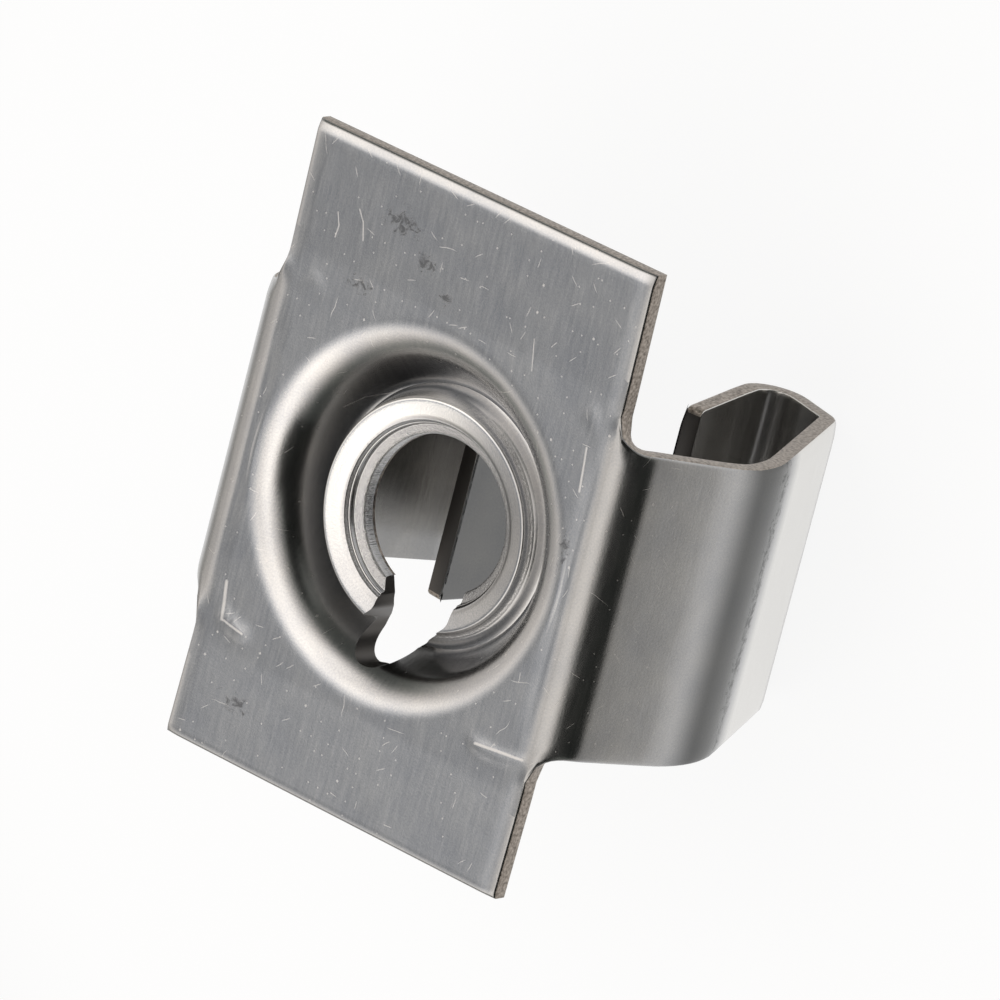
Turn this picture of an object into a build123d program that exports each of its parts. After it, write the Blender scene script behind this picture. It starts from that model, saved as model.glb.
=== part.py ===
import os
from math import atan2, cos, radians, sin, tan

from build123d import *
from build123d.topology import SkipClean

# U-shaped clip-on speed nut for a 1/4-20 screw, folded from one strip of spring steel.
# Frame: origin on the screw axis in the plate's front face, +Z out of the front face towards the
# screw head, +X from leg to leg, +Y along the plate. Everything is in mm.

sheet = 0.64  # strip thickness

# front plate
plate_width = 14.0
plate_height = 21.0
plate_shift = 0.4  # how far the plate's middle lies above the screw axis
flat_rim = 0.3  # the plate is flat this far beyond the dish
flap_tilt = 1.9  # beyond it both ends spring forward by this angle

# legs: the outer face as straight runs meeting at these points, with rounded corners
leg_top = 5.16
leg_bottom = 5.14
root_out = 0.66  # the bend's outer corner, beyond the plate's side edge
root_radius = 1.80
belly_out = 2.77
belly_z = -5.06
belly_radius = 4.50
heel_in = 0.31
heel_z = -12.46
heel_radius = 0.90
foot_x = 2.90
foot_z = -13.81
foot_radius = 1.33
lip_x = 3.66
lip_z = -8.19
edge_taper = 0.28  # the leg's upper edge runs in by this much
edge_taper_from = -1.10
edge_taper_to = -4.90
lip_taper = 0.28  # the lip's upper edge runs in by this much more towards its free end
lip_taper_from = -11.40
lip_corner = 0.2
root_fillet = 1.0  # plan fillet between the plate's side edge and a leg
web_length = 0.85  # beside each leg the bend fades out over this length
web_turn = 53.0  # the webs share this much of the leg's bend
overlap = 0.2  # legs and webs start this far back inside the plate

# how far the cuts reach
cut_start = 1.0  # in front of the plate
cut_depth = 5.0
edge_room = 3.0  # beside the strip's edges
inside_lip = 2.0  # cuts through a leg start at this x
leg_room = 10.0
lip_room = 3.0

# dish pressed around the screw hole
dish_radius = 6.40
dish_shoulder = 1.60
dish_slope = 55.0
wall_reach = 1.45  # the round wall is this wide, and the helical collar takes over from it
socket_reach = 0.1  # the collar's sheet starts this far up the wall
socket_inset = 0.02  # and this far inside its faces

# collar: one turn of helix, high on the left of the slit and one pitch lower on its right;
# depths are below the crest
pitch = 1.27
hole_radius = 2.56
crest_z = -0.36
crest_radius = 3.45
crest_outer = 3.84
crest_outer_depth = 0.17
crest_inner = 3.08
crest_inner_depth = 0.12
flank_reach = 0.19  # part of the way from the crest's outer edge to the dish wall
flank_rise = 0.38  # part of the way up from the valley to the crest
valley_reach = 0.52
valley_depth_high = 0.85
valley_depth_low = 0.42
groove_radius = 3.00
groove_depth = 0.25
ring_radius = 2.85
ring_depth = 0.62
throat_radius = 2.50  # the screw hole is cut through the collar's inner edge
throat_depth = 0.83
land = 0.22  # height of the edge that meets the screw
back_radius = 3.30
back_depth = 1.12
web_thickness = 0.68  # from the valley straight down to the underside
turn_in_degrees = 359.5
section_count = 13
sector_count = 6

# slit that lets the collar spread, with a round relief at its end
slit_angle = 262.75
slit_left = -0.65
slit_flare_x = -0.98
slit_flare_y = -2.20
slit_neck_y = -2.90
slit_neck_radius = 0.30
slit_right = 1.50
slit_bend_y = -3.25
slit_bend_radius = 0.50
slit_left_end = -3.35  # the straight left side ends here and runs out to the relief's side
slit_left_radius = 0.35
slit_left_out = -1.20
slit_left_out_y = -4.05
relief_x = -0.45
relief_radius = 0.82

root_x = plate_width / 2 + root_out
belly_x = plate_width / 2 + belly_out
heel_x = plate_width / 2 - heel_in
flap_start = dish_radius + flat_rim
dish_end = dish_radius - wall_reach

bend_angle = radians(web_turn)
bend_start = root_x - root_radius * tan(atan2(-belly_z, belly_x - root_x) / 2)
bend_outer_x = bend_start + root_radius * sin(bend_angle)
bend_outer_z = root_radius * (cos(bend_angle) - 1)
bend_inner_x = bend_start + (root_radius - sheet) * sin(bend_angle)
bend_inner_z = (root_radius - sheet) * cos(bend_angle) - root_radius

slope = radians(dish_slope)
wall_x = dish_radius - dish_shoulder * sin(slope)
wall_z = dish_shoulder * (cos(slope) - 1)
wall_depth = sheet / cos(slope)


def wall_top(radius):
    """Height of the dish wall's upper face at this distance from the screw axis."""
    return wall_z - (wall_x - radius) * tan(slope)


def mix(start, end, part_way):
    """A size part of the way from one to the other."""
    return start + (end - start) * part_way


flank_radius = mix(crest_outer, dish_end, flank_reach)
valley_radius = mix(crest_outer, dish_end, valley_reach)
relief_y = -valley_radius


with BuildPart() as clip_nut:
    # plate, drawn from the side: flat in the middle with both ends sprung forward
    top_end = plate_shift + plate_height / 2
    bottom_end = plate_shift - plate_height / 2
    top_lift = (top_end - flap_start) * tan(radians(flap_tilt))
    bottom_lift = (-flap_start - bottom_end) * tan(radians(flap_tilt))
    with BuildSketch(Plane.YZ.offset(-plate_width / 2)):
        with BuildLine():
            Polyline(
                (bottom_end, bottom_lift),
                (-flap_start, 0),
                (flap_start, 0),
                (top_end, top_lift),
                (top_end, top_lift - sheet),
                (flap_start, -sheet),
                (-flap_start, -sheet),
                (bottom_end, bottom_lift - sheet),
                close=True,
            )
        make_face()
    extrude(amount=plate_width)

    # the flat plate gives way to the bends where the legs and their webs start
    web_span = leg_top + leg_bottom + 2 * web_length
    with BuildSketch(Plane.XY.offset(cut_start)):
        with Locations((bend_start, -leg_bottom - web_length)):
            Rectangle(edge_room, web_span, align=(Align.MIN, Align.MIN))
        with Locations((-bend_start, -leg_bottom - web_length)):
            Rectangle(edge_room, web_span, align=(Align.MAX, Align.MIN))
    extrude(amount=-cut_depth, mode=Mode.SUBTRACT)

    # right leg: bend, bowed side, heel, rounded foot and the lip folded back up
    with BuildSketch(Plane.XZ.offset(-leg_top)):
        with BuildLine():
            FilletPolyline(
                (bend_start - overlap, 0),
                (root_x, 0),
                (belly_x, belly_z),
                (heel_x, heel_z),
                (foot_x, foot_z),
                (lip_x, lip_z),
                radius=(root_radius, belly_radius, heel_radius, foot_radius),
            )
            offset(amount=sheet, side=Side.RIGHT, closed=True)
        make_face()
    extrude(amount=leg_top + leg_bottom)

    # the leg's upper edge runs in a little
    with BuildSketch(Plane.YZ.offset(inside_lip)):
        with BuildLine():
            Polyline(
                (leg_top, edge_taper_from),
                (leg_top - edge_taper, edge_taper_to),
                (leg_top - edge_taper, foot_z),
                (leg_top + edge_room, foot_z),
                (leg_top + edge_room, edge_taper_from),
                close=True,
            )
        make_face()
    extrude(amount=leg_room, mode=Mode.SUBTRACT)

    # the lip narrows to a free end with rounded corners
    lip_top = leg_top - edge_taper - lip_taper
    with BuildSketch(Plane.YZ.offset(inside_lip)):
        with BuildLine():
            Polyline(
                (leg_top + edge_room, lip_taper_from),
                (leg_top - edge_taper, lip_taper_from),
                (lip_top, lip_z - lip_corner),
            )
            RadiusArc((lip_top, lip_z - lip_corner), (lip_top - lip_corner, lip_z), -lip_corner)
            Polyline(
                (lip_top - lip_corner, lip_z),
                (lip_top - lip_corner, lip_z + edge_room),
                (leg_top + edge_room, lip_z + edge_room),
                (leg_top + edge_room, lip_taper_from),
            )
        make_face()
        with BuildLine():
            Polyline(
                (-leg_bottom + lip_corner, lip_z),
                (-leg_bottom + lip_corner, lip_z + edge_room),
                (-leg_bottom - edge_room, lip_z + edge_room),
                (-leg_bottom - edge_room, lip_z - lip_corner),
                (-leg_bottom, lip_z - lip_corner),
            )
            RadiusArc(
                (-leg_bottom, lip_z - lip_corner), (-leg_bottom + lip_corner, lip_z), lip_corner
            )
        make_face()
    extrude(amount=lip_room, mode=Mode.SUBTRACT)

    # webs: above and below the leg its bend fades out into the flat plate
    for bent_y, flat_y in (
        (leg_top, leg_top + web_length),
        (-leg_bottom, -leg_bottom - web_length),
    ):
        with BuildSketch(Plane.XZ.offset(-bent_y)):
            with BuildLine():
                Polyline(
                    (bend_start, -sheet),
                    (bend_start - overlap, -sheet),
                    (bend_start - overlap, 0),
                    (bend_start, 0),
                )
                RadiusArc((bend_start, 0), (bend_outer_x, bend_outer_z), root_radius)
                Line((bend_outer_x, bend_outer_z), (bend_inner_x, bend_inner_z))
                RadiusArc((bend_inner_x, bend_inner_z), (bend_start, -sheet), sheet - root_radius)
            make_face()
        with BuildSketch(Plane.XZ.offset(-flat_y)):
            with BuildLine():
                Polyline(
                    (bend_start, -sheet),
                    (bend_start - overlap, -sheet),
                    (bend_start - overlap, 0),
                    (bend_start, 0),
                    (bend_start + root_radius * bend_angle, 0),
                    (bend_start + root_radius * bend_angle, -sheet),
                    close=True,
                )
            make_face()
        loft(ruled=True)

    # plan outline at the leg's root: rounded inner corners against the plate's side edge
    with BuildSketch(Plane.XY.offset(cut_start)):
        with Locations((plate_width / 2, leg_top)):
            cut_above = Rectangle(edge_room, edge_room, align=(Align.MIN, Align.MIN))
        with Locations((plate_width / 2, -leg_bottom)):
            cut_below = Rectangle(edge_room, edge_room, align=(Align.MIN, Align.MAX))
        fillet(cut_above.vertices().group_by(Axis.X)[0].sort_by(Axis.Y)[0], root_fillet)
        fillet(cut_below.vertices().group_by(Axis.X)[0].sort_by(Axis.Y)[-1], root_fillet)
    extrude(amount=-cut_depth, mode=Mode.SUBTRACT)

    # left leg
    mirror(about=Plane.YZ)

    # round dish around the screw hole
    with BuildSketch(Plane.XY.offset(cut_start)):
        Circle(dish_radius)
    extrude(amount=-cut_depth, mode=Mode.SUBTRACT)
    with BuildSketch(Plane.XZ):
        with BuildLine():
            Line((dish_radius, -sheet), (dish_radius, 0))
            RadiusArc((dish_radius, 0), (wall_x, wall_z), -dish_shoulder)
            Polyline(
                (wall_x, wall_z),
                (dish_end, wall_top(dish_end)),
                (dish_end, wall_top(dish_end) - wall_depth),
                (wall_x + sheet * sin(slope), wall_z - sheet * cos(slope)),
            )
            RadiusArc(
                (wall_x + sheet * sin(slope), wall_z - sheet * cos(slope)),
                (dish_radius, -sheet),
                dish_shoulder - sheet,
            )
        make_face()
    revolve(axis=Axis.Z)

    # collar: the strip turns up from the dish to a rounded crest and falls to the screw's thread,
    # every section a little lower than the last
    socket = dish_end + socket_reach
    socket_top = wall_top(socket) - socket_inset
    socket_back = wall_top(socket) - wall_depth + socket_inset
    for step in range(section_count):
        part_way = step / (section_count - 1)
        angle = radians(slit_angle - turn_in_degrees * part_way)
        out = (cos(angle), sin(angle), 0)
        across = (sin(angle), -cos(angle), 0)
        crest = crest_z - pitch * part_way
        valley = crest - mix(valley_depth_high, valley_depth_low, part_way)
        throat = crest - throat_depth
        with BuildSketch(Plane((0, 0, 0), x_dir=out, z_dir=across)):
            with BuildLine():
                Spline(
                    (socket, socket_top),
                    (valley_radius, valley),
                    (flank_radius, valley + flank_rise * (crest - valley)),
                    (crest_outer, crest - crest_outer_depth),
                    tangents=((-cos(slope), -sin(slope)), (-1, 1)),
                )
                ThreePointArc(
                    (crest_outer, crest - crest_outer_depth),
                    (crest_radius, crest),
                    (crest_inner, crest - crest_inner_depth),
                )
                Polyline(
                    (crest_inner, crest - crest_inner_depth),
                    (groove_radius, crest - groove_depth),
                    (ring_radius, crest - ring_depth),
                    (throat_radius, throat),
                    (throat_radius, throat - land),
                    (back_radius, crest - back_depth),
                )
                Spline(
                    (back_radius, crest - back_depth),
                    (valley_radius, valley - web_thickness),
                    (socket, socket_back),
                )
                Line((socket, socket_back), (socket, socket_top))
            make_face()
    loft()

    # slit and its relief
    with BuildSketch(Plane.XY.offset(cut_start)):
        with BuildLine():
            FilletPolyline(
                (0, 0),
                (slit_flare_x, slit_flare_y),
                (slit_left, slit_neck_y),
                (slit_left, slit_left_end),
                (slit_left_out, slit_left_out_y),
                (relief_x, relief_y),
                (relief_x + relief_radius, relief_y),
                (slit_right, slit_bend_y),
                (slit_right, 0),
                radius=(0, slit_neck_radius, slit_left_radius, 0, 0, 0, slit_bend_radius),
            )
            Line((slit_right, 0), (0, 0))
        make_face()
        with Locations((relief_x, relief_y)):
            Circle(relief_radius)
    extrude(amount=-cut_depth, mode=Mode.SUBTRACT)

    # screw hole, cut sector by sector so that each piece of its wall keeps its own height
    with SkipClean():
        for sector in range(sector_count):
            start = Vector(hole_radius, 0).rotate(Axis.Z, 360 / sector_count * sector)
            end = start.rotate(Axis.Z, 360 / sector_count)
            with BuildSketch(Plane.XY.offset(cut_start)):
                with BuildLine():
                    Line((0, 0), start)
                    RadiusArc(start, end, -hole_radius)
                    Line(end, (0, 0))
                make_face()
            extrude(amount=-cut_depth, clean=False, mode=Mode.SUBTRACT)

clip_nut.part.label = "clip_nut"
os.makedirs("parts", exist_ok=True)
export_step(clip_nut.part, "parts/clip_nut.step")
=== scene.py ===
from math import cos, exp, hypot, pi, radians, sin, sqrt, tan

import bmesh
import bpy
import numpy as np
from mathutils import Matrix, Vector


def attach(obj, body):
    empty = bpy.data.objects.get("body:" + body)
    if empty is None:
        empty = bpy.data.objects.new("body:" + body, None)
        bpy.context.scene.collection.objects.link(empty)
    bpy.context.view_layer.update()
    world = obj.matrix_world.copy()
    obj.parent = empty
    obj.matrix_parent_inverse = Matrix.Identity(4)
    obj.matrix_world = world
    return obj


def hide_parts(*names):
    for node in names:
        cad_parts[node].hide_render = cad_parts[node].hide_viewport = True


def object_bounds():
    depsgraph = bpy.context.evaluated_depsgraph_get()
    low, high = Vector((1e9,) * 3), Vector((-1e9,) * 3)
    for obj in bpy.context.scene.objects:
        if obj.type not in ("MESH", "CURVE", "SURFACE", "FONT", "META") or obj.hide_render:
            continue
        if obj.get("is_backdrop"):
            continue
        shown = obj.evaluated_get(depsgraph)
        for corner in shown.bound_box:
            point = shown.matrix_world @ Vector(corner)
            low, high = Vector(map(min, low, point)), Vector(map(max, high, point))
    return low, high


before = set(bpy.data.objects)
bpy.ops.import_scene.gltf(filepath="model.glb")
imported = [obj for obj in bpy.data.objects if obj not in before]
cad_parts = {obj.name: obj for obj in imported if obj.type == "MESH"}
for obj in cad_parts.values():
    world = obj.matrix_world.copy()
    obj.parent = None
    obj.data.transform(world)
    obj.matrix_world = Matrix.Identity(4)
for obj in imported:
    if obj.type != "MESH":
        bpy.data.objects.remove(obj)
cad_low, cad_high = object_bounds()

# The nut: one strip of bright spring steel, rolled 0.64 mm thick. A press blanks it, domes the
# dish, splits and raises the collar by one thread pitch, and folds both legs back underneath.
# Sizes are in millimetres in the solid's own frame; along and y are places on the unfolded strip.
mm = 0.001
sheet = 0.64
plate_side = 7.0
plate_top = 10.9
plate_bottom = -10.1
flap_start = 6.7
flap_tilt = tan(radians(1.9))

leg_top = 5.16
leg_bottom = -5.14
leg_line = ((0, 0), (7.66, 0), (9.77, -5.06), (6.69, -12.46), (2.90, -13.808), (3.66, -8.19))
leg_radii = (1.80, 4.50, 0.90, 1.33)
leg_taper = 0.28
leg_taper_z = -1.10
leg_taper_run = 3.80
lip_taper_z = -11.40
lip_taper_run = 3.21
lip_corner = 0.2
root_fillet = 1.0
root_reach = 9.0
web_length = 0.85

dish_radius = 6.40
dish_shoulder = 1.60
dish_slope = radians(55)
dish_foot = 4.42
foot_deepest = -1.82
foot_slit_lift = 0.35
valley_depth = 0.85
valley_rise = 0.43

pitch = 1.27
crest_z = -0.36
slit_angle = 262.75
jump_angle = 264.9
collar_turn = 359.5
# radius, and depth below the collar's crest: its rounded top, then the groove, ledge and thread's edge
crest_profile = ((3.85, 0.20), (3.79, 0.06), (3.70, 0), (3.45, 0.055), (3.22, 0.12), (3.08, 0.18))
throat_profile = (
    (3.05, 0.20), (3.035, 0.23), (3.02, 0.265), (3.005, 0.30), (2.985, 0.325), (2.955, 0.335),
    (2.94, 0.36), (2.93, 0.41), (2.92, 0.46), (2.91, 0.50), (2.89, 0.525), (2.85, 0.54), (2.78, 0.56),
    (2.70, 0.585), (2.63, 0.61), (2.59, 0.645), (2.57, 0.70), (2.56, 0.85), (2.56, 1.05),
)
slit_line = ((0, 0), (-0.98, -2.20), (-0.65, -2.90), (-0.65, -3.35), (-1.27, -4.10), (-1.27, -5.24),
             (0.37, -5.24), (0.37, -4.42), (1.50, -3.25), (1.50, 0))
slit_radii = (0, 0.3, 0.35, 0.5, 0.80, 0.80, 0.3, 0.5)


def ramp(value, low, high):
    """How far a value has come from one end of a range to the other, from 0 to 1."""
    return min(1, max(0, (value - low) / (high - low)))


def rounded(points, radii, step):
    """A chain of straight runs with rounded corners, as rows of place x, z and direction x, z."""
    rows = []
    here = Vector(points[0])
    for i, corner in enumerate(points[1:]):
        corner = Vector(corner)
        ahead = (corner - here).normalized()
        last = i == len(radii)
        turn = cut = 0
        if not last:
            after = (Vector(points[i + 2]) - corner).normalized()
            turn = ahead.angle_signed(after)
            cut = radii[i] * tan(abs(turn) / 2)
        run = (corner - here).length - cut
        count = max(1, int(run / step))
        rows += [(*(here + ahead * run * k / count), *ahead) for k in range(count + 1)]
        if last:
            break
        start = here + ahead * run
        side = Vector((ahead.y, -ahead.x)) * (1 if turn > 0 else -1)
        centre = start + side * radii[i]
        count = max(1, int(radii[i] * abs(turn) / step)) if radii[i] else 0
        for k in range(1, count + 1):
            spin = Matrix.Rotation(-turn * k / count, 2)
            rows.append((*(centre - spin @ (side * radii[i])), *(spin @ ahead)))
        here = corner + after * cut
    return np.array(rows)


leg_path = rounded(leg_line, leg_radii, 0.02)
leg_length = np.concatenate(([0], np.cumsum(np.hypot(*np.diff(leg_path[:, :2], axis=0).T))))
leg_end = leg_length[-1]
foot_length = leg_length[leg_path[:, 1].argmin()]


def fold(along):
    """Where a point this far along the flat strip lies once the leg is folded, and its normal."""
    x, z, ahead_x, ahead_z = (np.interp(abs(along), leg_length, leg_path[:, i]) for i in range(4))
    long = hypot(ahead_x, ahead_z)
    flip = 1 if along >= 0 else -1
    return flip * x, z, flip * -ahead_z / long, ahead_x / long


def leg_edges(along):
    """The strip's lower and upper edge at this distance along a leg."""
    x, z, *_ = fold(abs(along))
    low, high = leg_bottom, leg_top
    if abs(along) < root_reach:
        reach = max(0, root_fillet - (x - plate_side))
        fillet = root_fillet - sqrt(max(0, root_fillet ** 2 - reach ** 2))
        low, high = low - fillet, high + fillet
    if abs(along) > foot_length:
        taper = leg_taper + leg_taper * max(0, z - lip_taper_z) / lip_taper_run
    else:
        taper = leg_taper * ramp(leg_taper_z - z, 0, leg_taper_run)
    corner = max(0, abs(along) - leg_end + lip_corner)
    nip = lip_corner - sqrt(max(0, lip_corner ** 2 - corner ** 2))
    return low + nip, high - taper - nip


crease_width = 0.17
creases = (
    (0.07, ((-6.1, -4.6), (-5.95, -5.7), (-5.0, -6.0))),
    (0.07, ((4.8, -5.75), (5.9, -5.75), (6.8, -5.45))),
    (0.03, ((-6.15, 4.5), (-6.05, 5.5), (-5.6, 5.9))),
    (0.04, ((5.9, 5.9), (6.2, 5.5), (6.3, 4.6))),
)


def crease(along, y):
    """Height of the stretch marks that the folding die leaves beside each leg's bend."""
    place = Vector((along, y))
    height = 0
    for lift, line in creases:
        for a, b in zip(line, line[1:]):
            start = Vector(a)
            run = Vector(b) - start
            part = min(1, max(0, (place - start).dot(run) / run.length_squared))
            gap = (start + run * part - place).length
            height = max(height, lift * exp(-(gap / crease_width) ** 2))
    return height


# how far in from each sheared edge its roll-over starts, and how deep it ends
top_roll = 0.4, 0.10
bottom_roll = 0.25, 0.05
side_roll = 0.55, 0.06
leg_top_roll = 0.6, 0.07
leg_bottom_roll = 0.4, 0.05
# the folding die presses a step beside each bend, from the plate's side to the bend's
die_step, die_step_back = 0.022, 0.014
die_step_out, die_step_crown, die_step_in = 6.20, 6.56, 6.74


def rolled(inside, roll):
    """How far the front is rolled over at this distance inside a sheared edge."""
    width, depth = roll
    return depth * ramp(width - inside, 0, width) ** 1.4


def sink(along, y):
    """How far the front lies back: at the die's step beside a bend, and rolled over at the edges."""
    reach, level = abs(along), abs(y)
    step = die_step * ramp(reach, die_step_out, die_step_crown)
    step -= die_step_back * ramp(reach, die_step_crown, die_step_in)
    step *= ramp(level, 5.0, 3.8) * ramp(reach, 8.4, 7.4)
    if reach > 7.3:
        low, high = leg_edges(along)
        return step + rolled(high - y, leg_top_roll) + rolled(y - low, leg_bottom_roll)
    ends = rolled(plate_top - y, top_roll) + rolled(y - plate_bottom, bottom_roll)
    return step + ends + rolled(plate_side - reach, side_roll) * ramp(level, 6.1, 6.3)


def skin(along, y):
    """Front and back of the sheet at a place on the flat strip, outside the dish."""
    x, z, normal_x, normal_z = fold(along)
    edge = y - leg_top if y > 0 else leg_bottom - y
    bent = min(1, max(0, 1 - edge / web_length))
    bent = bent * bent * (3 - 2 * bent)
    lift = max(0, abs(y) - flap_start) * flap_tilt + crease(along, y)
    front = Vector((along + (x - along) * bent, y, lift + (z - lift) * bent))
    normal = Vector((normal_x * bent, 0, 1 + (normal_z - 1) * bent)).normalized()
    return front - normal * sink(along, y), front - normal * sheet


def flow(before, points, count):
    """A smooth curve through points, coming from the one before them, as samples between them."""
    points = [np.array(p, float) for p in points]
    ends = [np.array(before), *points, 2 * points[-1] - points[-2]]
    out = []
    for i in range(len(points) - 1):
        a, b, c, d = ends[i:i + 4]
        for k in range(count):
            t = k / count
            out.append(0.5 * (2 * b + (c - a) * t + (2 * a - 5 * b + 4 * c - d) * t ** 2
                              + (3 * b - 3 * c + d - a) * t ** 3))
    return out + [points[-1]]


def dish_section(angle):
    """The pressed dish and collar cut at this angle: rows of front radius, z and back radius, z."""
    share = ((slit_angle - angle) if angle < jump_angle else (slit_angle - angle + 360)) / collar_turn
    crest = crest_z - pitch * share
    valley = crest - valley_depth + valley_rise * share
    rows = []
    arc_steps = 14
    for k in range(arc_steps + 1):
        turn = dish_slope * k / arc_steps
        rows.append((dish_radius - dish_shoulder * sin(turn), dish_shoulder * (cos(turn) - 1),
                     dish_radius - (dish_shoulder - sheet) * sin(turn),
                     -sheet + (dish_shoulder - sheet) * (cos(turn) - 1)))
    front_start, back_start = rows[-1][:2], rows[-1][2:]
    front_before, back_before = rows[-4][:2], rows[-4][2:]

    # the foot of the dish's wall is deepest and steepest on the collar's high side
    steep = min(1, max(0, (0.56 - share) / 0.16))
    steep = steep * steep * (3 - 2 * steep)
    near_slit = max(0, 1 - share / 0.07)
    foot_z = valley + (min(0, foot_deepest - valley) + foot_slit_lift * near_slit) * steep
    foot = dish_foot - 0.17 * steep, foot_z
    flank = 4.05 - 0.07 * steep, foot_z + 0.38 * (crest - foot_z)
    top = [(r, crest - depth) for r, depth in crest_profile]
    front = flow(front_before, (front_start, foot, flank, *top), 5)[1:]
    front += [(r, crest - depth) for r, depth in throat_profile]

    under = ((dish_foot, foot_z - 0.68), (3.30, crest - 1.12), (2.56, crest - 1.055))
    back = flow(back_before, (back_start, *under), len(front) // 3)[1:]
    while len(back) < len(front):
        back.insert(-1, tuple((np.array(back[-1]) + np.array(back[-2])) / 2))
    return rows + [(*f, *b) for f, b in zip(front, back)]


# a square border around the dish, counted once round from the lower right corner
leg_rows, corner_rows, end_columns = 52, 5, 58
square_top = 7.4
root_low, root_high = leg_bottom - root_fillet, leg_top + root_fillet
around = 2 * (leg_rows + 2 * corner_rows) + 2 * end_columns
side = [-square_top + (root_low + square_top) * k / corner_rows for k in range(corner_rows)]
side += [root_low + (leg_top - leg_bottom + 2 * root_fillet) * k / leg_rows for k in range(leg_rows)]
side += [root_high + (square_top - leg_top - root_fillet) * k / corner_rows for k in range(corner_rows)]
side_count = len(side)
top = [plate_side - 2 * plate_side * k / end_columns for k in range(end_columns)]
border = [(plate_side, y) for y in side] + [(x, square_top) for x in top]
border += [(-plate_side, y) for y in [square_top] + side[:0:-1]]
border += [(x, -square_top) for x in [-plate_side] + top[:0:-1]]

fronts, backs, places, quads = [], [], [], []


def point(front, back, place):
    """Keeps a front and back point with their place on the flat strip, and returns their number."""
    fronts.append(front)
    backs.append(back)
    places.append(place)
    return len(fronts) - 1


def strip(rows, closed=False):
    """Joins neighbouring rows of points with four-sided faces."""
    for a, b in zip(rows, rows[1:]):
        count = len(a)
        for k in range(count if closed else count - 1):
            quads.append((a[k], a[(k + 1) % count], b[(k + 1) % count], b[k]))


# rings from the border in to the dish, then down through the dish's section to the hole
angles = [-1.5 * (side_count / 2) + 360 * k / around for k in range(around)]
outer_rings = 16
ring_crowding = 1.3
rings = []
for j in range(outer_rings):
    t = 1 - (j / outer_rings) ** ring_crowding
    ring = []
    for angle, (x, y) in zip(angles, border):
        circle = dish_radius * cos(radians(angle)), dish_radius * sin(radians(angle))
        place = circle[0] + (x - circle[0]) * t, circle[1] + (y - circle[1]) * t
        ring.append(point(*skin(*place), place))
    rings.append(ring)
sections = [dish_section(angle % 360) for angle in angles]
for j in range(len(sections[0])):
    ring = []
    for angle, section in zip(angles, sections):
        out = Vector((cos(radians(angle)), sin(radians(angle)), 0))
        r, z, back_r, back_z = section[j]
        front, back = out * r + Vector((0, 0, z)), out * back_r + Vector((0, 0, back_z))
        ring.append(point(front, back, (out.x * r, out.y * r)))
    rings.append(ring)
strip(rings, closed=True)

# the plate's two ends, with rows crowded where the edge rolls over
rim = rings[0]
top_row = rim[side_count:side_count + end_columns + 1]
bottom_row = rim[2 * side_count + end_columns:] + [rim[0]]
end_gaps = (2.3, 1.9, 1.4, 1.0, 0.6, 0.42, 0.34, 0.26, 0.18, 0.10, 0.0)
for row, end in ((top_row, plate_top), (bottom_row, plate_bottom)):
    rows = [row]
    for gap in end_gaps:
        y = end - gap * (1 if end > 0 else -1)
        rows.append([point(*skin(places[i][0], y), (places[i][0], y)) for i in row])
    strip(rows[::-1])

# both legs, with a station wherever the fold has turned a little
finest, coarsest, station_turn = 0.1, 0.7, radians(5)
last_run = 0.25
stations = [plate_side]
while stations[-1] < leg_end - last_run:
    here = stations[-1]
    step = finest
    while step < coarsest and np.dot(fold(here)[2:], fold(here + step)[2:]) > cos(station_turn):
        step += finest / 2
    stations.append(here + step)
stations = [s for s in stations if s < leg_end - last_run]
stations += [leg_end - gap for gap in (0.2, 0.12, 0.06, 0.02, 0.0)]
right_row = rim[corner_rows:corner_rows + leg_rows + 1]
left_start = side_count + end_columns + corner_rows
left_row = rim[left_start:left_start + leg_rows + 1][::-1]
for row, flip in ((right_row, 1), (left_row, -1)):
    rows = [row]
    for s in stations[1:]:
        low, high = leg_edges(s)
        across = [(flip * s, low + (high - low) * k / leg_rows) for k in range(leg_rows + 1)]
        rows.append([point(*skin(*place), place) for place in across])
    strip(rows if flip == 1 else rows[::-1])

# The faces: front and back skins, and a wall around the edge, its rims marked to be rolled over.
# Material slots: 0 rolled skin, 1 sheared edge, 2 the lips' cut ends.
back_shift = 100  # the pattern on the strip's back is drawn from a place of its own
shape = bmesh.new()
soft = shape.edges.layers.float.new("bevel_weight_edge")
plan = shape.loops.layers.uv.new("flat strip")
front_verts = [shape.verts.new(p) for p in fronts]
back_verts = [shape.verts.new(p) for p in backs]
for quad in quads:
    for verts, order, shift in ((front_verts, quad[::-1], 0), (back_verts, quad, back_shift)):
        face = shape.faces.new([verts[i] for i in order])
        for loop, i in zip(face.loops, order):
            loop[plan].uv = places[i][0], places[i][1] + shift
rim_edges = [e for e in shape.edges if e.is_boundary]
back_of = dict(zip(front_verts, back_verts))
front_set = set(front_verts)
for edge in rim_edges:
    if edge.verts[0] in front_set:
        loops = edge.link_loops[0], edge.link_loops[0].link_loop_next
        at_lip_end = all(abs(loop[plan].uv.x) > leg_end - 0.01 for loop in loops)
        a, b = (loop.vert for loop in loops)
        face = shape.faces.new((b, a, back_of[a], back_of[b]))
        face.material_index = 2 if at_lip_end else 1
        edge[soft] = 1.0
        for back_edge in face.edges:
            if all(v not in front_set for v in back_edge.verts):
                back_edge[soft] = 0.4
bmesh.ops.recalc_face_normals(shape, faces=shape.faces)
clip_mesh = bpy.data.meshes.new("clip")
shape.to_mesh(clip_mesh)
shape.free()
clip = bpy.data.objects.new("clip", clip_mesh)
bpy.context.scene.collection.objects.link(clip)


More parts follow.
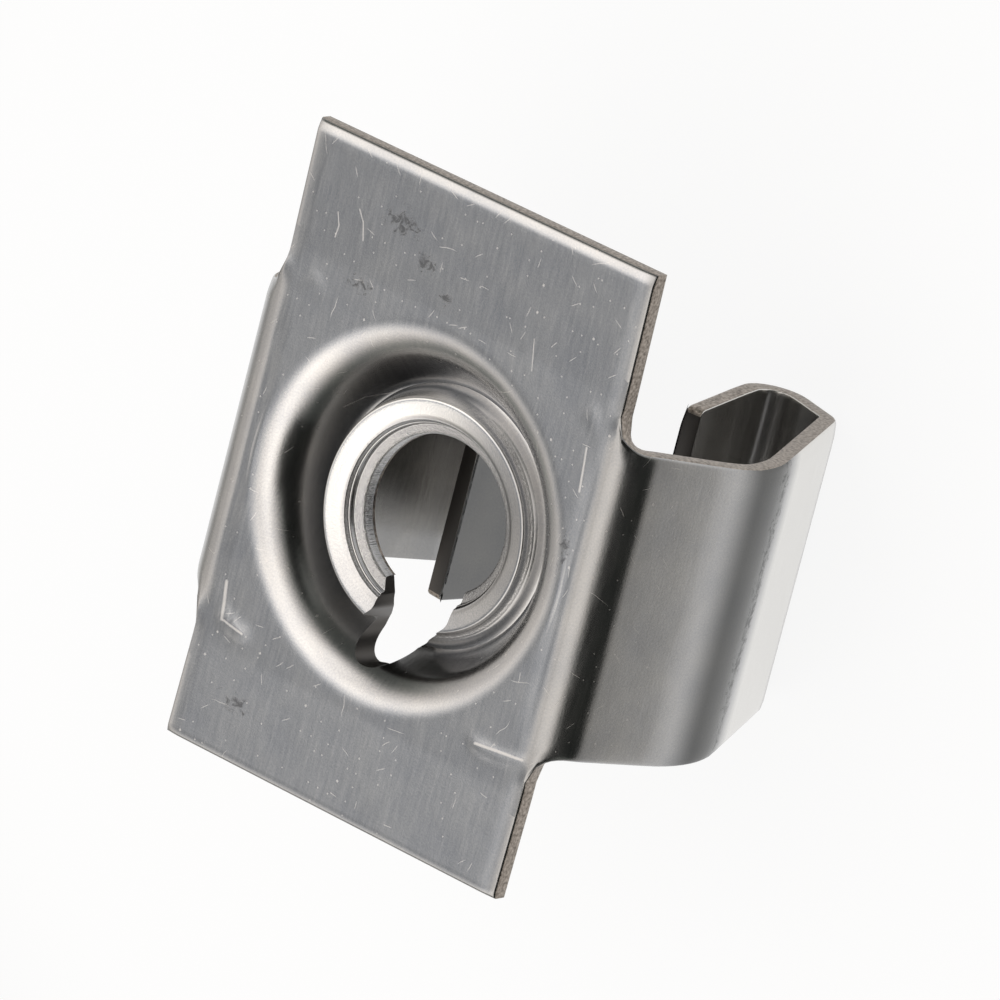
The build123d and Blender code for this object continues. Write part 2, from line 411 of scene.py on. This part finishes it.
def colour(code):
    """An sRGB hex colour turned linear."""
    parts = [int(code[i:i + 2], 16) / 255 for i in (1, 3, 5)]
    return [p / 12.92 if p <= 0.04045 else ((p + 0.055) / 1.055) ** 2.4 for p in parts] + [1.0]


def add_node(owner, kind, feeds={}, **settings):
    """Adds one node with its settings, its sockets fed by numbers or by other nodes' outputs."""
    node = owner.node_tree.nodes.new(kind)
    for name, value in settings.items():
        setattr(node, name, value)
    for socket, value in feeds.items():
        if isinstance(value, bpy.types.NodeSocket):
            owner.node_tree.links.new(value, node.inputs[socket])
        else:
            node.inputs[socket].default_value = value
    return node


def metal(name):
    """A new bare metal and its shader."""
    material = bpy.data.materials.new(name)
    material.use_nodes = True
    shader = material.node_tree.nodes["Principled BSDF"]
    shader.inputs["Metallic"].default_value = 1.0
    return material, shader


# Cold rolled steel, seen as a soft bluish grey sheen with fine grain along the rolling direction,
# and the scratches, specks and smudges of parts that were tumbled together. The patterns are drawn
# in millimetres on the flat strip: reach is the distance out along a leg, level across the strip.
steel, steel_shader = metal("bright rolled spring steel")
place = add_node(steel, "ShaderNodeUVMap", uv_map="flat strip").outputs["UV"]
halves = add_node(steel, "ShaderNodeSeparateXYZ", {0: place})
reach = add_node(steel, "ShaderNodeMath", {0: halves.outputs["X"]}, operation="ABSOLUTE").outputs[0]
level = add_node(steel, "ShaderNodeMath", {0: halves.outputs["Y"]}, operation="ABSOLUTE").outputs[0]
radius = add_node(steel, "ShaderNodeVectorMath", {0: place}, operation="LENGTH").outputs["Value"]


def band(low, low_full, high_full, high, most=1.0, ease="SMOOTHSTEP"):
    """A band around the screw's axis, soft at its inner and outer edge."""
    inner = add_node(steel, "ShaderNodeMapRange", {0: radius, 1: low, 2: low_full, 4: most},
                     interpolation_type=ease).outputs[0]
    outer = add_node(steel, "ShaderNodeMapRange", {0: radius, 1: high, 2: high_full},
                     interpolation_type=ease).outputs[0]
    return add_node(steel, "ShaderNodeMath", {0: inner, 1: outer}, operation="MULTIPLY").outputs[0]


drawn = add_node(steel, "ShaderNodeVectorMath", {0: place, 1: (8.0, 0.7, 1.0)},
                 operation="MULTIPLY").outputs[0]
grain = add_node(steel, "ShaderNodeTexNoise",
                 {"Vector": drawn, "Scale": 1.0, "Detail": 4.0, "Roughness": 0.6}).outputs[0]
fine = add_node(steel, "ShaderNodeTexNoise", {"Vector": place, "Scale": 14.0, "Detail": 3.0}).outputs[0]
cloud = add_node(steel, "ShaderNodeTexNoise", {"Vector": place, "Scale": 0.5, "Detail": 6.0}).outputs[0]
tone, height = 0.5, 0.0
for source, shade, lift in ((grain, 0.28, 0.0012), (fine, 0.85, 0.0016), (cloud, 1.1, 0.014)):
    shade = add_node(steel, "ShaderNodeMath", {0: source, 1: shade, 2: -shade / 2},
                     operation="MULTIPLY_ADD").outputs[0]
    tone = add_node(steel, "ShaderNodeMath", {0: tone, 1: shade}, operation="ADD").outputs[0]
    lift = add_node(steel, "ShaderNodeMath", {0: source, 1: lift}, operation="MULTIPLY").outputs[0]
    height = add_node(steel, "ShaderNodeMath", {0: height, 1: lift}, operation="ADD").outputs[0]
skin_colour = add_node(steel, "ShaderNodeMix",
                       {"Factor": tone, 6: colour("#9C9DA0"), 7: colour("#BBB9B6")},
                       data_type="RGBA").outputs[2]

# scattered scratches and specks: one to a cell, each with a length, half width and share of cells
scratches = 0.0
wander = add_node(steel, "ShaderNodeTexNoise", {"Vector": place, "Scale": 1.1, "Detail": 1.0}).outputs[0]
for cell, long, wide, most in ((1.7, 0.42, 0.013, 0.18), (0.8, 0.20, 0.013, 0.26),
                               (0.5, 0.03, 0.03, 0.26), (0.9, 0.05, 0.05, 0.08)):
    cells = add_node(steel, "ShaderNodeTexVoronoi", {"Vector": place, "Scale": 1 / cell},
                     voronoi_dimensions="2D")
    local = add_node(steel, "ShaderNodeVectorMath", {0: place, 1: cells.outputs["Position"]},
                     operation="SUBTRACT").outputs[0]
    draw = add_node(steel, "ShaderNodeSeparateColor", {0: cells.outputs["Color"]}).outputs
    turn = add_node(steel, "ShaderNodeMath", {0: draw[0], 1: 2 * pi}, operation="MULTIPLY").outputs[0]
    spun = add_node(steel, "ShaderNodeVectorRotate", {"Vector": local, "Angle": turn},
                    rotation_type="Z_AXIS").outputs[0]
    spun = add_node(steel, "ShaderNodeSeparateXYZ", {0: spun}).outputs
    bow = add_node(steel, "ShaderNodeMath", {0: wander, 1: long, 2: spun["Y"]},
                   operation="MULTIPLY_ADD").outputs[0]
    off = add_node(steel, "ShaderNodeMath", {0: bow, 1: 0.5 * long}, operation="SUBTRACT").outputs[0]
    off = add_node(steel, "ShaderNodeMath", {0: off}, operation="ABSOLUTE").outputs[0]
    mark = add_node(steel, "ShaderNodeMapRange", {0: off, 1: wide, 2: 0.3 * wide}).outputs[0]
    ends = add_node(steel, "ShaderNodeMath", {0: spun["X"]}, operation="ABSOLUTE").outputs[0]
    ends = add_node(steel, "ShaderNodeMapRange", {0: ends, 1: long, 2: 0.5 * long}).outputs[0]
    mark = add_node(steel, "ShaderNodeMath", {0: mark, 1: ends}, operation="MULTIPLY").outputs[0]
    chosen = add_node(steel, "ShaderNodeMath", {0: draw[1], 1: most}, operation="LESS_THAN").outputs[0]
    mark = add_node(steel, "ShaderNodeMath", {0: mark, 1: chosen}, operation="MULTIPLY").outputs[0]
    scratches = add_node(steel, "ShaderNodeMath", {0: mark, 1: scratches},
                         operation="MAXIMUM").outputs[0]
for source, gate_low, gate_high in ((reach, 13.0, 9.0), (radius, 4.6, 5.6)):
    gate = add_node(steel, "ShaderNodeMapRange", {0: source, 1: gate_low, 2: gate_high}).outputs[0]
    scratches = add_node(steel, "ShaderNodeMath", {0: scratches, 1: gate},
                         operation="MULTIPLY").outputs[0]

# longer marks, from start to end with a half width
for start, end, wide in (
    ((-6.12, -4.6), (-5.92, -5.8), 0.09), ((-5.92, -5.8), (-5.0, -5.95), 0.05),
    ((4.8, -5.68), (6.7, -5.48), 0.06), ((-4.25, 2.03), (-3.74, 2.54), 0.02),
    ((-3.74, 2.54), (-2.92, 3.0), 0.02), ((-4.6, 8.7), (-4.35, 8.35), 0.03),
    ((-4.35, 8.35), (-4.2, 7.8), 0.03), ((-5.4, 8.3), (-5.25, 7.9), 0.03),
    ((-5.25, 7.9), (-5.3, 7.5), 0.03), ((3.1, 7.3), (3.3, 6.3), 0.02), ((6.05, 4.8), (6.2, 3.4), 0.05),
):
    run = Vector(end) - Vector(start)
    shift = add_node(steel, "ShaderNodeVectorMath", {0: place, 1: (*start, 0)},
                     operation="SUBTRACT").outputs[0]
    part = add_node(steel, "ShaderNodeVectorMath", {0: shift, 1: (*run / run.length_squared, 0)},
                    operation="DOT_PRODUCT").outputs["Value"]
    part = add_node(steel, "ShaderNodeMath", {0: part, 1: 1.0},
                    operation="MULTIPLY", use_clamp=True).outputs[0]
    part = add_node(steel, "ShaderNodeVectorMath", {0: (*run, 0), "Scale": part},
                    operation="SCALE").outputs[0]
    away = add_node(steel, "ShaderNodeVectorMath", {0: shift, 1: part}, operation="DISTANCE").outputs["Value"]
    mark = add_node(steel, "ShaderNodeMapRange", {0: away, 1: wide, 2: 0.3 * wide}).outputs[0]
    scratches = add_node(steel, "ShaderNodeMath", {0: mark, 1: scratches},
                         operation="MAXIMUM").outputs[0]
scratch_share = add_node(steel, "ShaderNodeMath", {0: scratches, 1: 0.36},
                         operation="MULTIPLY").outputs[0]
skin_colour = add_node(steel, "ShaderNodeMix",
                       {"Factor": scratch_share, 6: skin_colour, 7: colour("#F0EAE4")},
                       data_type="RGBA").outputs[2]

# smudges: dark, torn patches near the upper end, and a painted dark band across the right leg
smudges_and_painted_band = 0.0
torn = add_node(steel, "ShaderNodeTexNoise",
                {"Vector": place, "Scale": 3.6, "Detail": 5.0, "Roughness": 0.7,
                 "Distortion": 0.8}).outputs[0]
# the patch at 14.5 along is no smudge but a painted dark reflection: the dark band on the right leg
for x, y, wide, high in ((-2.8, 8.9, 1.5, 0.9), (-3.95, 6.4, 1.0, 0.5), (-0.6, 7.2, 0.6, 0.35),
                         (-1.6, 8.0, 0.7, 0.6), (6.2, 1.5, 0.4, 1.2), (14.5, 0.0, 0.9, 12.0),
                         (-4.6, -8.2, 1.2, 0.5)):
    shift = add_node(steel, "ShaderNodeVectorMath", {0: place, 1: (x, y, 0)}, operation="SUBTRACT").outputs[0]
    shift = add_node(steel, "ShaderNodeVectorMath", {0: shift, 1: (1 / wide, 1 / high, 1)},
                     operation="MULTIPLY").outputs[0]
    away = add_node(steel, "ShaderNodeVectorMath", {0: shift}, operation="LENGTH").outputs["Value"]
    stain_and_painted_band = add_node(steel, "ShaderNodeMapRange", {0: away, 1: 1.0, 2: 0.2, 4: 0.27}).outputs[0]
    smudges_and_painted_band = add_node(steel, "ShaderNodeMath", {0: stain_and_painted_band, 1: smudges_and_painted_band}, operation="MAXIMUM").outputs[0]
smudge_and_painted_band = add_node(steel, "ShaderNodeMath", {0: torn, 1: smudges_and_painted_band}, operation="ADD").outputs[0]
smudge_and_painted_band = add_node(steel, "ShaderNodeMapRange", {0: smudge_and_painted_band, 1: 0.7, 2: 0.82, 4: 0.78}).outputs[0]
skin_colour = add_node(steel, "ShaderNodeMix", {"Factor": smudge_and_painted_band, 6: skin_colour, 7: colour("#4A4B4D")},
                       data_type="RGBA").outputs[2]

# Painted shade, mixed into the colour: in the dish's foot around the collar's high side, a little on
# the collar's low side, along the right bend where it dims the highlight, as a band across each leg
# that stands in for a dark reflection, and on the lips' fronts and the legs' backs inside the folds.
front_face = add_node(steel, "ShaderNodeMapRange", {0: level, 1: 50.0, 2: 40.0}).outputs[0]
# painted shade in the dish's foot, strongest on the collar's high side where the foot is deepest
high_side = add_node(steel, "ShaderNodeVectorMath", {0: place, 1: (-0.9, -0.35, 0)},
                     operation="DOT_PRODUCT").outputs["Value"]
high_side = add_node(steel, "ShaderNodeMapRange", {0: high_side, 1: -1.0, 2: 1.2, 4: 0.6}).outputs[0]
dish_foot_shade = add_node(steel, "ShaderNodeMath", {0: band(3.8, 3.92, 4.9, 5.7), 1: high_side},
                 operation="MULTIPLY").outputs[0]
# painted shade on the collar's low side, darker on that side only
low_side_shade = add_node(steel, "ShaderNodeVectorMath", {0: place, 1: (0.95, -0.3, 0)},
                    operation="DOT_PRODUCT").outputs["Value"]
low_side_shade = add_node(steel, "ShaderNodeMapRange", {0: low_side_shade, 1: 0.6, 2: 2.6, 4: 0.24}).outputs[0]
low_side_shade = add_node(steel, "ShaderNodeMath", {0: low_side_shade, 1: band(2.5, 2.7, 4.2, 4.7)},
                    operation="MULTIPLY").outputs[0]
# a painted dark reflection: a dark band across each leg, not a mark of the die
painted_leg_band_from = add_node(steel, "ShaderNodeMapRange", {0: reach, 1: 11.3, 2: 12.9},
                     interpolation_type="SMOOTHSTEP").outputs[0]
painted_leg_band_to = add_node(steel, "ShaderNodeMapRange", {0: reach, 1: 15.3, 2: 14.4},
                   interpolation_type="SMOOTHSTEP").outputs[0]
painted_leg_band = add_node(steel, "ShaderNodeMath", {0: painted_leg_band_from, 1: painted_leg_band_to}, operation="MULTIPLY").outputs[0]
painted_leg_band = add_node(steel, "ShaderNodeMath", {0: painted_leg_band, 1: 0.8}, operation="MULTIPLY").outputs[0]
# painted shade along the right bend, dimming its highlight
right_bend_shade_from = add_node(steel, "ShaderNodeMapRange", {0: halves.outputs["X"], 1: 6.5, 2: 7.0},
                     interpolation_type="SMOOTHSTEP").outputs[0]
right_bend_shade_to = add_node(steel, "ShaderNodeMapRange", {0: reach, 1: 8.0, 2: 7.5, 4: 0.5},
                   interpolation_type="SMOOTHSTEP").outputs[0]
right_bend_shade = add_node(steel, "ShaderNodeMath", {0: right_bend_shade_from, 1: right_bend_shade_to}, operation="MULTIPLY").outputs[0]
# painted shade on the lips' fronts, which lie inside the folds
lip_front_shade = add_node(steel, "ShaderNodeMapRange", {0: reach, 1: 22.5, 2: 24.5, 4: 0.65},
                     interpolation_type="SMOOTHSTEP").outputs[0]
lip_front_shade = add_node(steel, "ShaderNodeMath", {0: lip_front_shade, 1: front_face},
                     operation="MULTIPLY").outputs[0]
# painted shade on the legs' backs, under the plate
leg_back_shade = add_node(steel, "ShaderNodeMapRange", {0: level, 1: 40.0, 2: 50.0, 4: 0.28}).outputs[0]
leg_back_shade_to = add_node(steel, "ShaderNodeMapRange", {0: reach, 1: 21.0, 2: 19.5}).outputs[0]
leg_back_shade = add_node(steel, "ShaderNodeMath", {0: leg_back_shade, 1: leg_back_shade_to},
                    operation="MULTIPLY").outputs[0]
shade = dish_foot_shade
for darker in (painted_leg_band, low_side_shade, right_bend_shade, lip_front_shade, leg_back_shade):
    shade = add_node(steel, "ShaderNodeMath", {0: shade, 1: darker}, operation="MAXIMUM").outputs[0]
skin_colour = add_node(steel, "ShaderNodeMix", {"Factor": shade, 6: skin_colour, 7: colour("#3A3B3A")},
                       data_type="RGBA").outputs[2]

# painted light, mixed into the colour: a painted highlight on the heel below the painted leg band,
# painted light on the lips' backs inside the folds, and a painted highlight on the crest's high side
# a painted highlight on the heel of each leg
heel_highlight = add_node(steel, "ShaderNodeMapRange", {0: reach, 1: 15.0, 2: 16.2, 4: 0.95},
                interpolation_type="SMOOTHSTEP").outputs[0]
heel_highlight = add_node(steel, "ShaderNodeMath", {0: heel_highlight, 1: front_face}, operation="MULTIPLY").outputs[0]
heel_highlight_to = add_node(steel, "ShaderNodeMapRange", {0: reach, 1: 21.5, 2: 20.0}).outputs[0]
heel_highlight = add_node(steel, "ShaderNodeMath", {0: heel_highlight, 1: heel_highlight_to}, operation="MULTIPLY").outputs[0]
back_face = add_node(steel, "ShaderNodeMapRange", {0: level, 1: 40.0, 2: 50.0}).outputs[0]
# painted light on the lips' backs, inside the folds
lip_back_painted_light = add_node(steel, "ShaderNodeMapRange",
                    {0: reach, 1: 19.5, 2: 22.0, 3: 0.05, 4: 0.75}).outputs[0]
lip_back_painted_light = add_node(steel, "ShaderNodeMath", {0: back_face, 1: lip_back_painted_light},
                    operation="MULTIPLY").outputs[0]
# a painted highlight on the collar's crest, on its upper left side
crest = add_node(steel, "ShaderNodeVectorMath", {0: place, 1: (-0.8, 0.6, 0)},
                 operation="DOT_PRODUCT").outputs["Value"]
crest = add_node(steel, "ShaderNodeMapRange", {0: crest, 1: 0.0, 2: 2.8, 4: 0.6},
                 interpolation_type="SMOOTHSTEP").outputs[0]
crest = add_node(steel, "ShaderNodeMath", {0: crest, 1: band(3.08, 3.25, 3.8, 3.95)},
                 operation="MULTIPLY").outputs[0]
bright = add_node(steel, "ShaderNodeMath", {0: heel_highlight, 1: lip_back_painted_light}, operation="MAXIMUM").outputs[0]
bright = add_node(steel, "ShaderNodeMath", {0: bright, 1: crest}, operation="MAXIMUM").outputs[0]
skin_colour = add_node(steel, "ShaderNodeMix", {"Factor": bright, 6: skin_colour, 7: colour("#E2E0DC")},
                       data_type="RGBA").outputs[2]
steel.node_tree.links.new(skin_colour, steel_shader.inputs["Base Color"])

# worn to a rougher skin at the collar's thread, its groove, its shoulder and its crest
rough_skin = 0.0
for low_edge, high_edge, soft_edge, much in ((2.4, 2.92, 0.06, 1.0), (2.98, 3.10, 0.04, 0.6),
                                             (3.76, 3.98, 0.05, 0.45), (3.15, 3.74, 0.08, 0.22)):
    worn = band(low_edge, low_edge + soft_edge, high_edge - soft_edge, high_edge, much, "LINEAR")
    rough_skin = add_node(steel, "ShaderNodeMath", {0: worn, 1: rough_skin},
                          operation="MAXIMUM").outputs[0]
pits = add_node(steel, "ShaderNodeTexNoise",
                {"Vector": place, "Scale": 15.0, "Detail": 3.0, "Roughness": 0.7}).outputs[0]
pits = add_node(steel, "ShaderNodeMath", {0: pits, 1: rough_skin}, operation="MULTIPLY").outputs[0]
height = add_node(steel, "ShaderNodeMath", {0: pits, 1: 0.034, 2: height},
                  operation="MULTIPLY_ADD").outputs[0]
relief = add_node(steel, "ShaderNodeBump", {"Height": height, "Distance": mm, "Strength": 1.0})
steel.node_tree.links.new(relief.outputs[0], steel_shader.inputs["Normal"])

polish = add_node(steel, "ShaderNodeMath", {0: grain, 1: 0.16, 2: 0.14},
                  operation="MULTIPLY_ADD").outputs[0]
polish = add_node(steel, "ShaderNodeMath", {0: scratches, 1: 0.2, 2: polish},
                  operation="MULTIPLY_ADD").outputs[0]
polish = add_node(steel, "ShaderNodeMath", {0: smudge_and_painted_band, 1: 0.15, 2: polish},
                  operation="MULTIPLY_ADD").outputs[0]
steel.node_tree.links.new(polish, steel_shader.inputs["Roughness"])

# Sheared faces: the blanking die leaves a warm grey, torn grain.
sheared, sheared_shader = metal("sheared steel")
sheared_shader.inputs["Roughness"].default_value = 0.42
body_place = add_node(sheared, "ShaderNodeTexCoord").outputs["Object"]
torn_grain = add_node(sheared, "ShaderNodeTexNoise",
                      {"Vector": body_place, "Scale": 9.0 / mm, "Detail": 4.0}).outputs[0]
torn_colour = add_node(sheared, "ShaderNodeMapRange", {0: torn_grain, 1: 0.3, 2: 0.7}).outputs[0]
torn_colour = add_node(sheared, "ShaderNodeMix",
                       {"Factor": torn_colour, 6: colour("#6B635B"), 7: colour("#B8AEA4")},
                       data_type="RGBA").outputs[2]
sheared.node_tree.links.new(torn_colour, sheared_shader.inputs["Base Color"])
torn_relief = add_node(sheared, "ShaderNodeBump",
                       {"Height": torn_grain, "Distance": 0.02 * mm, "Strength": 1.0})
sheared.node_tree.links.new(torn_relief.outputs[0], sheared_shader.inputs["Normal"])

# The slit's wall and the lips' cut ends have a darker colour: painted shade for faces that lie in the
# dish's hollow and inside the folds.
punched, punched_shader = metal("punched steel")
punched_shader.inputs["Roughness"].default_value = 0.40
punched_shader.inputs["Base Color"].default_value = colour("#55524F")

for material in (steel, sheared, punched):
    clip_mesh.materials.append(material)

edge_roll = clip.modifiers.new("edge roll", "BEVEL")
edge_roll.limit_method = "WEIGHT"
edge_roll.width = 0.09
edge_roll.segments = 3
edge_roll.use_clamp_overlap = False

# the slit is punched through dish and collar, and the wall it leaves takes the punch's material
punch_low, punch_high = -5, 1
punch_shape = bmesh.new()
outline = []
for x, y in rounded(slit_line, slit_radii, 0.04)[:, :2]:
    if not outline or (Vector((x, y)) - Vector(outline[-1])).length > 0.004:
        outline.append((x, y))
lower = [punch_shape.verts.new((x, y, punch_low)) for x, y in outline]
upper = [punch_shape.verts.new((x, y, punch_high)) for x, y in outline]
punch_shape.faces.new(lower)
punch_shape.faces.new(upper[::-1])
for i in range(len(outline)):
    j = (i + 1) % len(outline)
    punch_shape.faces.new((lower[i], lower[j], upper[j], upper[i]))
bmesh.ops.recalc_face_normals(punch_shape, faces=punch_shape.faces)
punch_mesh = bpy.data.meshes.new("slit punch")
punch_shape.to_mesh(punch_mesh)
punch_shape.free()
punch_mesh.materials.append(punched)
punch = bpy.data.objects.new("slit punch", punch_mesh)
bpy.context.scene.collection.objects.link(punch)
slit = clip.modifiers.new("slit", "BOOLEAN")
slit.operation = "DIFFERENCE"
slit.solver = "MANIFOLD"
slit.material_mode = "TRANSFER"
slit.object = punch
bpy.context.view_layer.update()
final = bpy.data.meshes.new_from_object(clip.evaluated_get(bpy.context.evaluated_depsgraph_get()))
clip.modifiers.clear()
clip.data = final
bpy.data.objects.remove(punch)
final.transform(Matrix.Scale(mm, 4))
final.set_sharp_from_angle(angle=radians(38))
for polygon in final.polygons:
    polygon.use_smooth = True
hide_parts("clip_nut")
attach(clip, "root")

# The floor is a sheet of white paper with a painted pool of light: white near the nut, fading to pale
# grey away from it, which the metal mirrors. It shows as written to the camera and in the metal, and
# takes some of the nut's shadow.
floor_half = 3.0
corners = [(-floor_half, -floor_half, 0), (floor_half, -floor_half, 0),
           (floor_half, floor_half, 0), (-floor_half, floor_half, 0)]
floor_mesh = bpy.data.meshes.new("floor")
floor_mesh.from_pydata(corners, [], [(0, 1, 2, 3)])
floor = bpy.data.objects.new("floor", floor_mesh)
bpy.context.scene.collection.objects.link(floor)
floor.location.z = cad_low.z
floor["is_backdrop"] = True
paper = bpy.data.materials.new("white paper")
paper.use_nodes = True
paper_shader = paper.node_tree.nodes["Principled BSDF"]
paper_shader.inputs["Roughness"].default_value = 0.9
paper_shader.inputs["Specular IOR Level"].default_value = 0.2
spot = add_node(paper, "ShaderNodeTexCoord").outputs["Object"]
# a painted pool of light: white paper near the nut, falling off to pale grey further away
far = add_node(paper, "ShaderNodeVectorMath", {0: spot}, operation="LENGTH").outputs["Value"]
painted_light_falloff = add_node(paper, "ShaderNodeMapRange", {0: far, 1: 28 * mm, 2: 80 * mm},
                interpolation_type="SMOOTHSTEP").outputs[0]
paper_colour = add_node(paper, "ShaderNodeMix",
                        {"Factor": painted_light_falloff, 6: colour("#FCFCFC"), 7: colour("#B4B2AE")},
                        data_type="RGBA").outputs[2]
paper.node_tree.links.new(paper_colour, paper_shader.inputs["Base Color"])
ray = add_node(paper, "ShaderNodeLightPath").outputs
seen = add_node(paper, "ShaderNodeMath", {0: ray["Is Camera Ray"], 1: ray["Is Glossy Ray"]},
                operation="MAXIMUM").outputs[0]
seen = add_node(paper, "ShaderNodeMath", {0: seen, 1: ray["Is Transmission Ray"]},
                operation="MAXIMUM").outputs[0]
seen = add_node(paper, "ShaderNodeMath", {0: seen, 1: 0.92}, operation="MULTIPLY").outputs[0]
shown = add_node(paper, "ShaderNodeEmission", {"Color": paper_colour, "Strength": 1.0}).outputs[0]
lit = add_node(paper, "ShaderNodeMixShader", {0: seen, 1: paper_shader.outputs[0], 2: shown}).outputs[0]
paper.node_tree.links.new(lit, paper.node_tree.nodes["Material Output"].inputs["Surface"])
floor_mesh.materials.append(paper)

# The light: a warm white tent overhead that falls off towards the horizon, a lamp behind it on one
# side, and darker openings on the others. Each patch has its azimuth, elevation, inner and outer
# radius in degrees, and how much it adds.
world = bpy.data.worlds.new("studio")
world.use_nodes = True
sky = world.node_tree.nodes["Background"]
look = add_node(world, "ShaderNodeTexCoord").outputs["Generated"]
plate_opening = (-148, 52, 4, 28, -2.02)  # what the plate mirrors: a cooler, darker opening
glow, cool = 0.19, 0.0
for patch in (
    (-120, 80, 20, 70, 2.25),
    plate_opening,
    (30, 45, 20, 45, -0.35),
    (-120, 75, 0, 20, -0.8),
    (120, 45, 0, 22, 1.0),
    (-165, 30, 20, 45, 0.35),
    (-100, 30, 15, 45, 0.25),
    (-25, 42, 10, 26, -1.4),
    (-18, 8, 12, 30, -0.3),
    (176, 12, 8, 38, 0.40),
    (55, 8, 8, 32, 0.35),
    (0, 90, 2, 16, -0.5),
):
    azimuth, elevation, inner, outer = (radians(angle) for angle in patch[:4])
    middle = cos(elevation) * cos(azimuth), cos(elevation) * sin(azimuth), sin(elevation)
    near = add_node(world, "ShaderNodeVectorMath", {0: look, 1: middle}, operation="DOT_PRODUCT")
    apart = add_node(world, "ShaderNodeMath", {0: near.outputs["Value"]},
                     operation="ARCCOSINE").outputs[0]
    part = add_node(world, "ShaderNodeMapRange", {0: apart, 1: outer, 2: inner, 4: patch[4]},
                    interpolation_type="SMOOTHSTEP").outputs[0]
    glow = add_node(world, "ShaderNodeMath", {0: glow, 1: part}, operation="ADD").outputs[0]
    if patch is plate_opening:
        cool = add_node(world, "ShaderNodeMath", {0: part, 1: -0.5},
                        operation="MULTIPLY", use_clamp=True).outputs[0]
glow = add_node(world, "ShaderNodeMath", {0: glow, 1: 0.03}, operation="MAXIMUM").outputs[0]
tint = add_node(world, "ShaderNodeMapRange", {0: glow, 1: 0.1, 2: 0.7}).outputs[0]
tint = add_node(world, "ShaderNodeMix",
                {"Factor": tint, 6: (0.95, 1.02, 0.93, 1), 7: (1.05, 1.0, 0.95, 1)},
                data_type="RGBA").outputs[2]
tint = add_node(world, "ShaderNodeMix", {"Factor": cool, 6: tint, 7: (0.97, 1.0, 1.05, 1)},
                data_type="RGBA").outputs[2]
world.node_tree.links.new(glow, sky.inputs["Strength"])
world.node_tree.links.new(tint, sky.inputs["Color"])
bpy.context.scene.world = world

# The camera looks down on the nut from the front right, rolled so that the plate stands upright.
camera_data = bpy.data.cameras.new("camera")
camera_data.lens = 420.4
camera_data.sensor_width = 36
camera_data.clip_end = 10
camera = bpy.data.objects.new("camera", camera_data)
bpy.context.scene.collection.objects.link(camera)
camera.matrix_world = Matrix((
    (0.75081, -0.36835, 0.54828, 0.20338),
    (0.24063, 0.92556, 0.29230, 0.10862),
    (-0.61513, -0.08753, 0.78355, 0.28584),
    (0, 0, 0, 1),
))
bpy.context.scene.camera = camera
bpy.context.scene.view_settings.view_transform = "Standard"

low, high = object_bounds()
